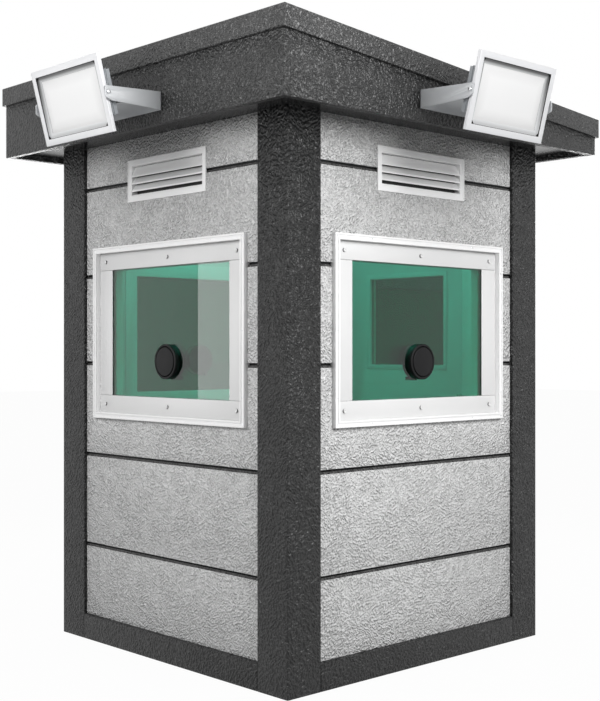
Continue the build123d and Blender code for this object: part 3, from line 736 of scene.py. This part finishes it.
# %% Frame beads
RIM_BEAD = 7.5
RIM_BEAD_PROUD = 3.0
bead_places = on_windows((0.0, -RIM_FACE - RIM_BEAD_PROUD, RIM_Z))
for name, grow in (("window_rim_beads", 0.0), ("window_rim_inner_beads", RIM_BEAD - RIM_WIDE)):
    placed(flat_ring(RIM_HALF + grow, RIM_HALF_HIGH + grow, RIM_BEAD, RIM_BEAD_PROUD, 0.8), name,
           bead_places, "white_frame")

VENT_FACE = 750.0
VENT_HALF = 267.5
VENT_HALF_HIGH = 90.0
VENT_Z = 2014.0
VENT_BEAD = 7.0
VENT_BEAD_PROUD = 2.5
LIP_FACE, LIP_BACK = 746.0, 728.0
LIP_LOW, LIP_TOP = 1948.0, 1954.5
vent_slot = slot_of["wall_vents"]
placed(flat_ring(VENT_HALF, VENT_HALF_HIGH, VENT_BEAD, VENT_BEAD_PROUD, 0.7), "vent_frame_beads",
       on_windows((0.0, -VENT_FACE - VENT_BEAD_PROUD, VENT_Z)), vent_slot)
placed(bar((-VENT_BOX_HALF, -LIP_FACE, LIP_LOW), (VENT_BOX_HALF, -LIP_BACK, LIP_TOP), 1.0),
       "vent_bottom_lips", on_windows((0.0, 0.0, 0.0)), vent_slot)
print("beads stand", RIM_BEAD_PROUD, "and", VENT_BEAD_PROUD, "mm proud")

# %% [markdown]
# ## Seals round the speech baffles
# Each baffle passes through a hole in the pane, bedded in black sealant. Seen through the glass it
# is a dark sleeve between the two discs. Without it the polished hole would flash like a mirror.
# An outline of four points is spun round the hole's axis, so the sleeve is a closed ring.

# %% Sleeves of sealant
SPEAK_Z = 1243.0
NECK_RADIUS = 69.8
HOLE_RADIUS = 71.6
SEAL_SHORT = 0.2


def close_up():
    """In edit mode, merge doubled corners, turn all faces outwards, and leave."""
    bpy.ops.mesh.select_all(action="SELECT")
    bpy.ops.mesh.remove_doubles(threshold=DOUBLES)
    bpy.ops.mesh.normals_make_consistent(inside=False)
    leave()


def sleeve(inner, outer, y_front, y_back, steps=56):
    """A closed ring about the Y axis, spun from a small rectangle."""
    ring = primitive(bpy.ops.mesh.primitive_plane_add,
                     ((outer - inner) * MM, (y_back - y_front) * MM, 1.0), size=1.0,
                     location=((inner + outer) / 2 * MM, (y_front + y_back) / 2 * MM, 0.0))
    edit(ring)
    bpy.ops.mesh.delete(type="ONLY_FACE")
    bpy.ops.mesh.select_all(action="SELECT")
    bpy.ops.mesh.spin(steps=steps, angle=2 * math.pi, center=(0.0, 0.0, 0.0),
                      axis=(0.0, 1.0, 0.0))
    close_up()
    return ring


speech_seals = placed(
    sleeve(NECK_RADIUS, HOLE_RADIUS, -CORE_FACE + SEAL_SHORT, PANE_DEEP - CORE_FACE - SEAL_SHORT),
    "speech_baffle_seals", on_windows((0.0, 0.0, SPEAK_Z)), "black_plastic")
print(len(speech_seals.data.polygons), "faces in the seals")

# %% [markdown]
# ## Floodlights
# A lamp head is a die-cast front frame, a grey tray that slopes in from its opening, and a frosted
# diffuser at the bottom of the tray. Each head is modelled upright about its pivot axis, where all
# of it is square, and then turned down by its tilt and carried to its wall. The frame starts as a
# block: its front is inset by the border and pushed back a step, its back is inset too, and a
# bridge between the two opens the way through.

# %% Lamp frames
LAMP_OUT = 1200.0
LAMP_Z = 2258.0
LAMP_TILT = math.radians(14.8)
FRAME_HALF_X = 235.0
FRAME_HALF_Z = 148.0
FRAME_FACE = -8.0
FRAME_BORDER = 25.0
STEP_DEEP = 5.0
FRAME_EDGE_ANGLE = math.radians(25.0)
NEAR_AXIS = 0.001
LAMP_WALLS = ("front", "right")


def on_lamp(wall, forward=0.0):
    """Matrix from a lamp head's own upright place to its place on a wall."""
    turn = Matrix.Rotation(math.radians(WALL_TURNS[wall]), 4, "Z")
    pivot = Matrix.Translation(Vector((0.0, -LAMP_OUT, LAMP_Z)) * MM)
    tilt = Matrix.Rotation(LAMP_TILT, 4, "X")
    return turn @ pivot @ tilt @ Matrix.Translation((0.0, forward * MM, 0.0))


def middle_faces(*sides):
    """Rule for a framed block's innermost face on the front (-1), the back (1), or both."""
    def rule(mesh):
        for side in sides:
            flat = [face for face in mesh.faces if face.normal.y * side > FLAT_ON
                    and face.calc_center_median().xz.length < NEAR_AXIS]
            yield min(flat, key=lambda face: face.calc_area())
    return rule


def inset_middle(piece, side, width):
    choose(piece, middle_faces(side))
    bpy.ops.mesh.inset(thickness=width * MM)


def lamp_frame():
    """Front frame with a straight opening through it."""
    block = primitive(bpy.ops.mesh.primitive_cube_add,
                      Vector((FRAME_HALF_X, -FRAME_FACE, FRAME_HALF_Z)) * 2 * MM, size=1.0)
    edit(block)
    inset_middle(block, -1, FRAME_BORDER)
    choose(block, middle_faces(-1))
    bpy.ops.mesh.extrude_region_move(TRANSFORM_OT_translate={"value": (0.0, STEP_DEEP * MM, 0.0)})
    inset_middle(block, 1, FRAME_BORDER)
    choose(block, middle_faces(-1, 1))
    bpy.ops.mesh.bridge_edge_loops()
    close_up()
    apply(block, "BEVEL", width=1.6 * MM, segments=3, limit_method="ANGLE",
          angle_limit=FRAME_EDGE_ANGLE)
    return block


for wall in LAMP_WALLS:
    piece = placed(lamp_frame(), wall + "_lamp_frame", [on_lamp(wall)], "lamp_white",
                   wall + "_floodlight_head", stands_for=wall + "_floodlight_bezel")
    print(piece.name, len(piece.data.polygons), "faces")

# %% [markdown]
# The tray is a sloped ring, so the ring helper makes it, with its inner edge sunk. Its paint is
# near white, with painted shade: grey towards its outer edge and darkest along the top, where the
# frame's lip shades it. The pattern needs the lamp's own coordinates, so a Mapping node brings the
# object's coordinates to the pivot and turns them upright.

# %% Trays
SLOPE_WIDE = 20.0
SLOPE_DEEP = 7.0
LENS_HALF_X = FRAME_HALF_X - FRAME_BORDER - SLOPE_WIDE
LENS_HALF_Z = FRAME_HALF_Z - FRAME_BORDER - SLOPE_WIDE
SHEET = 1.5


def rim_share(finish, wall, short, width):
    """Share that grows from 0 to 1 over a width, from a rectangle short of the lens, and height."""
    turn = math.radians(WALL_TURNS[wall])
    pivot = Matrix.Rotation(turn, 3, "Z") @ Vector((0.0, -LAMP_OUT, LAMP_Z)) * MM
    parts = finish.node("SeparateXYZ")
    finish.link(finish.mapped((LAMP_TILT, 0.0, turn), location=pivot), parts.inputs["Vector"])
    across, high = [finish.math("SUBTRACT", finish.math("ABSOLUTE", parts.outputs[axis]),
                                (half - short) * MM)
                    for axis, half in (("X", LENS_HALF_X), ("Z", LENS_HALF_Z))]
    outside = finish.math("MAXIMUM", across, high)
    return finish.ramp(outside, 0.0, width * MM, smooth=False), parts.outputs["Z"]


def tray_finish(wall):
    finish = Finish(wall + "_lamp_tray", (0.80, 0.81, 0.82), 0.42)
    share, height = rim_share(finish, wall, 4.0, SLOPE_WIDE * 0.8)
    # Painted shade: darker towards the tray's outer edge and most at its top.
    shade_from_top = finish.ramp(height, -0.10, 0.10, 0.35, 1.0, smooth=False)
    finish.tint(finish.math("MULTIPLY", share, shade_from_top), 1.0, 0.12)
    finish.relief(finish.noise(scale=PEEL_SCALE, detail=1.0), 0.00005)
    return finish.material


for wall in LAMP_WALLS:
    tray = flat_ring(LENS_HALF_X + SLOPE_WIDE, LENS_HALF_Z + SLOPE_WIDE, SLOPE_WIDE, SHEET,
                     face=FRAME_FACE + STEP_DEEP, slope=SLOPE_DEEP)
    placed(tray, wall + "_lamp_tray", [on_lamp(wall)], "lamp_housing",
           wall + "_floodlight_head", tray_finish(wall))
print("two trays")

# %% [markdown]
# The diffuser is a moulded pillow: flat in the middle and falling off towards its rim, so its
# edges are a little darker than its middle. Its colour greys towards the rim as well, as painted
# shade. A few insets, each raised less than the one before, make that crown out of one block. A
# thin gasket and four corner keys hold the glass in the opening.

# %% Diffusers, gaskets and corner keys
LENS_BACK = 7.0
LENS_DEEP = 1.2
CROWN = ((7.0, 2.6), (12.0, 1.9), (20.0, 1.1), (26.0, 0.4))
KEY = 16.0
KEY_DEEP = 3.5
LAMP_GASKET, LAMP_GASKET_DEEP = 1.6, 2.5


def diffuser_finish(wall):
    """Frosted white, with painted shade: a touch greyer towards the rim, where less light reaches
    it.
    """
    finish = Finish(wall + "_lamp_diffuser", (0.90, 0.90, 0.90), 0.45)
    # Painted shade: the colour greys towards the diffuser's rim.
    finish.tint(rim_share(finish, wall, 45.0, 60.0)[0], 1.0, 0.86)
    finish.relief(finish.noise(scale=900.0, detail=1.0), 0.00002)
    return finish.material


def lamp_pillow():
    block = primitive(bpy.ops.mesh.primitive_cube_add,
                      Vector((2 * LENS_HALF_X, LENS_DEEP, 2 * LENS_HALF_Z)) * MM, size=1.0,
                      location=(0.0, (LENS_BACK - LENS_DEEP / 2) * MM, 0.0))
    edit(block)
    for wide, rise in CROWN:
        inset_middle(block, -1, wide)
        bpy.ops.transform.translate(value=(0.0, -rise * MM, 0.0))
    leave()
    return block


def corner_key(side_x, side_z):
    """A small wedge in one corner of the opening, cut from a plane and thickened."""
    place = Vector((side_x * (FRAME_HALF_X - FRAME_BORDER - KEY / 2), FRAME_FACE + KEY_DEEP,
                    side_z * (FRAME_HALF_Z - FRAME_BORDER - KEY / 2)))
    key = primitive(bpy.ops.mesh.primitive_plane_add, size=KEY * MM, location=place * MM,
                    rotation=FACING_FRONT)
    edit(key)
    choose(key, lambda mesh: [min(mesh.verts, key=lambda v: abs(v.co.x) + abs(v.co.z))])
    bpy.ops.mesh.delete(type="VERT")
    bpy.ops.mesh.select_all(action="SELECT")
    bpy.ops.mesh.edge_face_add()
    leave()
    apply(key, "SOLIDIFY", thickness=KEY_DEEP * MM, offset=0.0)
    apply(key, "BEVEL", width=0.5 * MM)
    edit(key)
    close_up()
    return key


for wall in LAMP_WALLS:
    body = wall + "_floodlight_head"
    placed(lamp_pillow(), wall + "_lamp_pillow", [on_lamp(wall)], "lamp_diffuser", body,
           diffuser_finish(wall), stands_for=wall + "_floodlight_lens")
    keys = joined([corner_key(x, z) for x in (-1, 1) for z in (-1, 1)], "keys")
    placed(keys, wall + "_lamp_corner_keys", [on_lamp(wall)], "black_plastic", body)
    gasket = flat_ring(LENS_HALF_X + SLOPE_WIDE, LENS_HALF_Z + SLOPE_WIDE, LAMP_GASKET,
                       LAMP_GASKET_DEEP, 0.3)
    placed(gasket, wall + "_lamp_gasket", [on_lamp(wall, FRAME_FACE + LAMP_GASKET_DEEP)],
           "black_plastic", body)
print("two diffusers with their gaskets and keys")

# %% [markdown]
# ## Bolts on the brackets
# Each yoke is held to the eaves' fascia by two hexagon bolts with washers, on the inside of its
# web, so a spanner reaches them past the lamp. A six-sided disc gets its corners turned off by a
# bevel of its front edge, and the washer is a flat ring spun from a small rectangle.

# %% Bracket bolts
WEB_FACE = 955.0
BOLT_X = 150.0
BOLT_ACROSS = 13.0
WASHER_DEEP = 1.5


def hex_bolt():
    head = disc(BOLT_ACROSS / math.sqrt(3.0), 6.5, 1.2, segments=2, sides=6, lift=WASHER_DEEP)
    return joined([head, sleeve(3.0, 12.0, -WASHER_DEEP - 0.1, 0.0, steps=28)], "bolt")


bracket_bolts = placed(
    hex_bolt(), "bracket_bolts",
    [on_wall(wall, (x, -WEB_FACE, LAMP_Z)) for wall in LAMP_WALLS for x in (-BOLT_X, BOLT_X)],
    "screw_steel")
print(len(bracket_bolts.data.polygons), "faces in the bracket bolts")

# %% [markdown]
# ## Door seal and screws
# The door is a steel leaf that opens out from the back wall. It closes on a rubber seal that runs
# up the frame's stop, over the top and down again; at the bottom it passes over the saddle. Hinge
# flags and the little pane's frame are screwed on, so the same button head serves again, in three
# sizes.

# %% Door seal and screws
LEAF_FACE = 757.0
LEAF_BACK = 712.0
STOP_FACE = 706.0
SEAL_IN, SEAL_OUT = 398.0, 406.0
SEAL_LOW, SEAL_TOP = 131.0, 2087.0
SEAL_THICK = 5.0
SEAL_WIDE = SEAL_OUT - SEAL_IN
HINGE_LEVELS = (380.0, 1115.0, 1850.0)
LITE_Z = 1434.0
LITE_HALF_X = 253.0
LITE_HALF_Z = 227.0
LITE_PROUD = 3.0
SADDLE_Y, SADDLE_TOP = 684.0, 130.0

seal_back = STOP_FACE + SEAL_THICK
strips = [bar((-SEAL_OUT, STOP_FACE, SEAL_LOW), (-SEAL_IN, seal_back, SEAL_TOP), 1.5),
          bar((SEAL_IN, STOP_FACE, SEAL_LOW), (SEAL_OUT, seal_back, SEAL_TOP), 1.5),
          bar((-SEAL_OUT, STOP_FACE, SEAL_TOP), (SEAL_OUT, seal_back, SEAL_TOP + SEAL_WIDE), 1.5)]
finished(joined(strips, "door_seal"), "booth", "black_plastic")


def small_screws(radius, height, name, matrices, body):
    placed(button_head(radius, height, socket=0.34, sides=16), name, matrices, "screw_steel", body)
    return len(matrices)


count = 0
for name, body, x, y, offsets in (
        ("hinge_screws_frame", "booth", 431.0, -768.0, (-46.0, -14.0)),
        ("hinge_screws_leaf", "door", 384.0, -763.0, (15.0, 47.0))):
    places = [on_wall("back", (x, y, level + z)) for level in HINGE_LEVELS for z in offsets]
    count += small_screws(4.6, 2.4, name, places, body)

lite_places = [(side * LITE_HALF_X, z) for side in (-1, 1) for z in (-150.0, 0.0, 150.0)]
lite_places += [(x, side * LITE_HALF_Z) for side in (-1, 1) for x in (-170.0, 0.0, 170.0)]
lite_screws = [on_wall(wall, (x, y - LITE_PROUD, LITE_Z + z))
               for wall, y in (("back", -LEAF_FACE), ("front", LEAF_BACK)) for x, z in lite_places]
count += small_screws(3.6, 1.8, "door_lite_screws", lite_screws, "door")

face_up = Matrix.Rotation(math.radians(-90.0), 4, "X")
saddle_screws = [Matrix.Translation(Vector((x, SADDLE_Y, SADDLE_TOP)) * MM) @ face_up
                 for x in (-300.0, -100.0, 100.0, 300.0)]
count += small_screws(5.0, 1.6, "threshold_screws", saddle_screws, "booth")
print("door seal and", count, "screws")

# %% [markdown]
# ## Door handles and lock
# A lever handle is a bent round bar on a round rose. The bar is drawn as a disc, extruded out from
# the door, spun a quarter turn for the bend, extruded along, and its end is rounded by a bevel.
# Below it sits the key cylinder: a rounded escutcheon and a plug with a key slot.

# %% Handles and lock
HANDLE_X = 344.0
HANDLE_Z = 1060.0
LOCK_Z = 985.0
GRIP_RADIUS = 9.0
GRIP_OUT = 33.0
BEND_RADIUS = 16.0
GRIP_LONG = 100.0


def extrude(x, y):
    bpy.ops.mesh.extrude_region_move(TRANSFORM_OT_translate={"value": (x * MM, y * MM, 0.0)})


def lever_handle(side):
    """A lever that comes out of the plane y = 0 and turns to the side, with its rose."""
    grip = primitive(bpy.ops.mesh.primitive_circle_add, vertices=24, radius=GRIP_RADIUS * MM,
                     fill_type="NGON", rotation=FACING_FRONT)
    edit(grip)
    extrude(0.0, -GRIP_OUT)
    bpy.ops.mesh.spin(steps=8, angle=side * math.pi / 2, axis=(0.0, 0.0, 1.0),
                      center=(side * BEND_RADIUS * MM, -GRIP_OUT * MM, 0.0))
    extrude(side * GRIP_LONG, 0.0)
    bpy.ops.mesh.bevel(offset=4.0 * MM, segments=4, affect="EDGES")
    close_up()
    return joined([grip, disc(27.0, 8.0, 2.5)], "lever")


handle_places = (("back", -HANDLE_X, -LEAF_FACE), ("front", HANDLE_X, LEAF_BACK))
levers = []
for side, (wall, x, y) in zip((1, -1), handle_places):
    levers.append(lever_handle(side))
    levers[-1].data.transform(on_wall(wall, (x, y, HANDLE_Z)))
handles = joined(levers, "door_lever_handles")
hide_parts("door_levers")
finished(handles, "door", "lever_steel")

lock_places = [on_wall(wall, (x, y, LOCK_Z)) for wall, x, y in handle_places]
cylinder = joined([disc(23.0, 7.0, 3.0), disc(8.5, 10.0, 0.8, sides=28)], "cylinder")
placed(cylinder, "door_lock", lock_places, "lever_steel", "door")
key_slot = bar((-0.9, -10.2, -4.0), (0.9, -9.0, 4.0), 0.2)
placed(key_slot, "door_key_slots", lock_places, "black_plastic", "door")
print("two levers and a lock with", len(handles.data.polygons), "faces in the levers")

# %% [markdown]
# ## Roof seams
# The roof panel is covered with membrane in three widths. Each lap is a welded strip, a little
# proud, that runs with the fall of the roof. The strips are made level and then tilted to the
# fall.

# %% Membrane laps
ROOF_FALL = 0.0836
ROOF_TOP = 2491.0
ROOF_HALF = 963.0
LAP_X = 310.0
LAP_HALF_WIDE = 30.0
LAP_HALF_LONG = 895.0
LAP_PROUD = 2.0
lap_z = (ROOF_TOP - ROOF_FALL * ROOF_HALF) * MM
fall = Matrix.Rotation(-math.atan(ROOF_FALL), 4, "X")
laps = joined([bar((x - LAP_HALF_WIDE, -LAP_HALF_LONG, -0.5),
                   (x + LAP_HALF_WIDE, LAP_HALF_LONG, LAP_PROUD), 0.8) for x in (-LAP_X, LAP_X)],
              "membrane_laps")
laps.data.transform(Matrix.Translation((0.0, 0.0, lap_z)) @ fall)
finished(laps, "booth", "roof_membrane")

# %% [markdown]
# ## Studio
# A white, even room shows a pale grey booth well. The world gives the soft fill. Four softboxes,
# one above and in front of each wall, give the trowel marks their shade and put the eaves' shadow
# on the panels, and a small one lights the cabin. The room looks white to the eye, in a mirror and
# through glass, but gives the booth only the plain light that its colours need.

# %% World and floor
def seen_or_else(tree, otherwise, seen):
    """Value for rays that come straight, off gloss or through glass, and for all others."""
    path = tree.nodes.new("ShaderNodeLightPath")
    share = path.outputs["Is Camera Ray"]
    for ray in ("Is Glossy Ray", "Is Transmission Ray"):
        either = tree.nodes.new("ShaderNodeMath")
        either.operation = "MAXIMUM"
        tree.links.new(share, either.inputs[0])
        tree.links.new(path.outputs[ray], either.inputs[1])
        share = either.outputs["Value"]
    value = tree.nodes.new("ShaderNodeMapRange")
    value.inputs["To Min"].default_value = otherwise
    value.inputs["To Max"].default_value = seen
    tree.links.new(share, value.inputs["Value"])
    return value.outputs["Result"]


WORLD_LIGHT = 0.34
FLOOR_WHITE = 0.97
world = bpy.data.worlds.new("studio")
bpy.context.scene.world = world
world.use_nodes = True
background = world.node_tree.nodes["Background"]
background.inputs["Color"].default_value = (1.0, 1.0, 1.0, 1.0)
world.node_tree.links.new(seen_or_else(world.node_tree, WORLD_LIGHT, 1.0),
                          background.inputs["Strength"])

floor = primitive(bpy.ops.mesh.primitive_plane_add, size=60.0)
floor.name = "studio_floor"
floor_finish = Finish("studio_floor", (0.40, 0.40, 0.40), 0.9)
mix = floor_finish.node("MixShader")
floor_finish.link(seen_or_else(floor_finish.tree, 0.0, FLOOR_WHITE), mix.inputs["Fac"])
floor_finish.link(floor_finish.shader.outputs["BSDF"], mix.inputs[1])
floor_finish.link(floor_finish.node("Emission").outputs["Emission"], mix.inputs[2])
floor_finish.link(mix.outputs["Shader"],
                  floor_finish.tree.nodes["Material Output"].inputs["Surface"])
floor.data.materials.append(floor_finish.material)
print("white world and a floor", round(floor.dimensions.x), "m wide")

# %% Lamps
def aim(item, place, target, axis):
    """Set a lamp or card at a place, with its face towards a target."""
    item.location = place
    item.rotation_euler = (Vector(target) - Vector(place)).to_track_quat(axis, "Y").to_euler()


def softbox(name, place, target, size, power):
    lamp = bpy.data.lights.new(name, "AREA")
    lamp.shape = "RECTANGLE"
    lamp.size = lamp.size_y = size
    lamp.energy = power
    aim(added(name, lamp), place, target, "-Z")


softbox("softbox_left", (0.3, -3.4, 2.65), (0, -0.75, 1.9), 1.5, 80.0)
softbox("softbox_right", (3.35, -0.3, 2.80), (0.75, 0, 1.95), 1.5, 135.0)
softbox("softbox_back", (-0.3, 3.7, 2.5), (0, 0.75, 1.6), 1.5, 62.0)
softbox("softbox_far_left", (-3.7, 0.3, 2.5), (-0.75, 0, 1.6), 1.5, 62.0)
softbox("cabin_fill", (0.0, 0.0, 2.15), (0, 0, 0), 0.9, 8.0)
print(len(bpy.data.lights), "lamps")

# %% [markdown]
# ## What the panes see
# A pane shows what is behind it and mirrors what is beside it. A studio sets dark flags behind a
# glass object and pale cards beside it to shape both. These flags are seen only through glass, and
# the cards only as reflections, so neither shades the booth nor shows beside it. The pale lamp
# heads stand nearest to the lamps, so a net before each one holds back part of the light that
# falls on it.

# %% Flags, cards and nets
RAYS = ("camera", "diffuse", "glossy", "transmission", "volume_scatter", "shadow")


def studio_card(name, place, target, width, height, strength, ray):
    """A card that glows at a strength and that only one kind of ray meets."""
    clear_selection()
    bpy.ops.mesh.primitive_plane_add(size=1.0)
    card = bpy.context.object
    card.name = name
    card.scale = (width, height, 1.0)
    aim(card, place, target, "Z")
    for kind in RAYS:
        setattr(card, "visible_" + kind, kind == ray)
    finish = Finish(name, (0.0, 0.0, 0.0), 0.5, shine=0.0)
    finish.set("Emission Color", (1.0, 1.0, 1.0, 1.0))
    finish.set("Emission Strength", strength)
    card.data.materials.append(finish.material)
    return finish


def studio_net(name, place, target, passes):
    """A net that lets a share of the light through to the pale lamp heads."""
    net = studio_card(name, place, target, 0.75, 0.60, 0.0, "shadow")
    gauze = net.node("BsdfTransparent", Color=(passes, passes, passes, 1.0))
    net.link(gauze.outputs["BSDF"], net.tree.nodes["Material Output"].inputs["Surface"])


studio_card("flag_beyond_left_wall", (-3.6, 1.6, 1.3), (0.0, -0.7, 1.3), 3.4, 3.6, 0.10,
            "transmission")
studio_card("flag_beyond_back_wall", (-2.6, 3.6, 1.3), (0.0, 0.8, 1.3), 3.0, 3.6, 0.02,
            "transmission")
studio_card("card_wide", (-3.9, -3.9, 1.3), (0.1, -0.735, 1.3), 2.2, 2.4, 1.4, "glossy")
studio_card("card_strip", (-3.45, -3.93, 1.3), (0.3, -0.735, 1.3), 0.50, 2.6, 4.5, "glossy")
studio_net("net_left_lamp", (0.08, -1.75, 2.36), (0.3, -3.4, 2.65), 0.47)
studio_net("net_right_lamp", (1.74, -0.08, 2.40), (3.35, -0.3, 2.80), 0.30)
print("two flags, two cards and two nets")

# %% [markdown]
# ## Camera
# A long lens, held level at about the windows' height, keeps the posts upright and shows two walls
# alike.

# %% Camera
lens = bpy.data.cameras.new("camera")
lens.lens = 62.6
camera = added("camera", lens)
camera.location = (4.0675, -3.7881, 1.2891)
camera.rotation_euler = (math.radians(90.0), 0.0, math.radians(46.947))
bpy.context.scene.camera = camera
bpy.context.scene.view_settings.view_transform = "Standard"
print("camera", round(camera.location.length, 2), "m from the middle of the floor")
